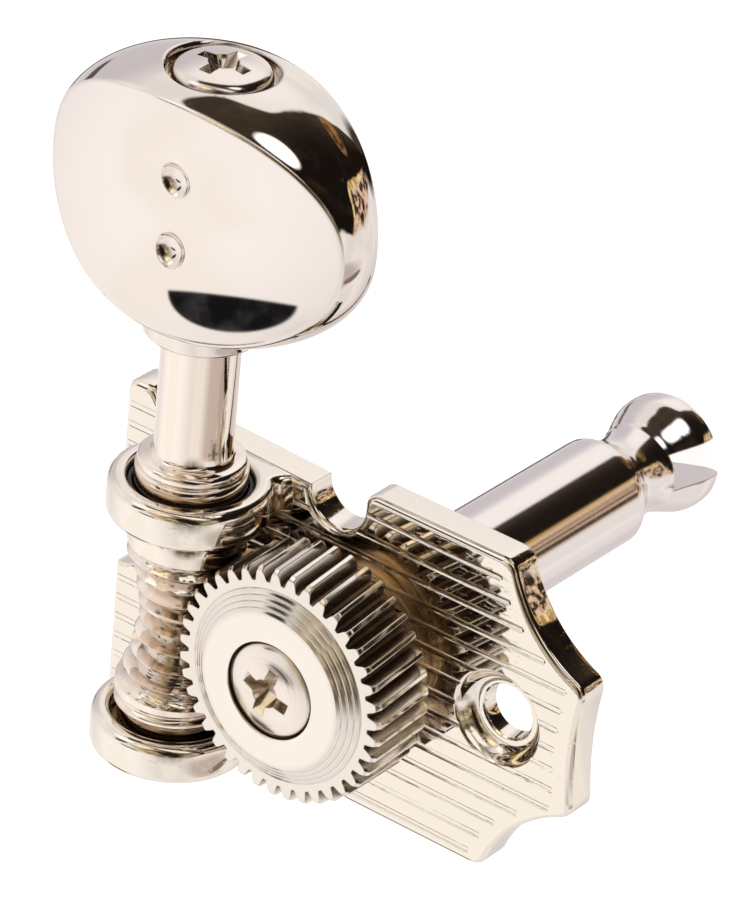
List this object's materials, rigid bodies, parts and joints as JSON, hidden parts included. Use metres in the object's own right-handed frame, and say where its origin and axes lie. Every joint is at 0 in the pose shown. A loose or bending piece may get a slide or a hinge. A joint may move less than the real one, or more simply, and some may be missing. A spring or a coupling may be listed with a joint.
{
  "type": "guitar tuning machine",
  "caption": "Open-gear guitar tuner: scalloped base plate with two ears, hourglass worm on a stem with an oval button, and a helical gear on a slotted string post.",
  "frame": {"origin": "where the string post's axis meets the plane of the base plate's back face", "axes": "+Z along the post's axis towards the gear, away from the headstock; +Y along the worm towards the button; +X from the post towards the plate's scalloped end"},
  "size_m": [0.0331, 0.0419, 0.0379],
  "materials": {
    "nickel_plate": "polished warm nickel",
    "satin_nickel": "fine machined nickel",
    "bearing_bronze": "machined bronze",
    "dark_plastic": "dark moulded bearing sleeve"
  },
  "bodies": {
    "plate": {"base_plate": "nickel_plate", "post_bush": "bearing_bronze", "gear_washer": "bearing_bronze", "upper_worm_bush": "dark_plastic", "lower_worm_bush": "bearing_bronze", "worm_thrust_washer": "bearing_bronze"},
    "worm": {"worm_shaft": "satin_nickel", "button": "nickel_plate", "button_screw": "nickel_plate"},
    "post": {"string_post": "nickel_plate", "main_gear": "satin_nickel", "gear_screw": "nickel_plate"}
  },
  "joints": [
    {"name": "worm_spin", "type": "hinge", "parent": "plate", "child": "worm", "pos_m": [-0.0083, 0, 0.00556], "axis": [0, 1, 0], "continuous": true},
    {"name": "post_spin", "type": "hinge", "parent": "plate", "child": "post", "pos_m": [0, 0, 0], "axis": [0, 0, 1], "continuous": true}
  ],
  "couplings": [
    {"joint": "post_spin", "follows": "worm_spin", "ratio": -0.025641}
  ]
}
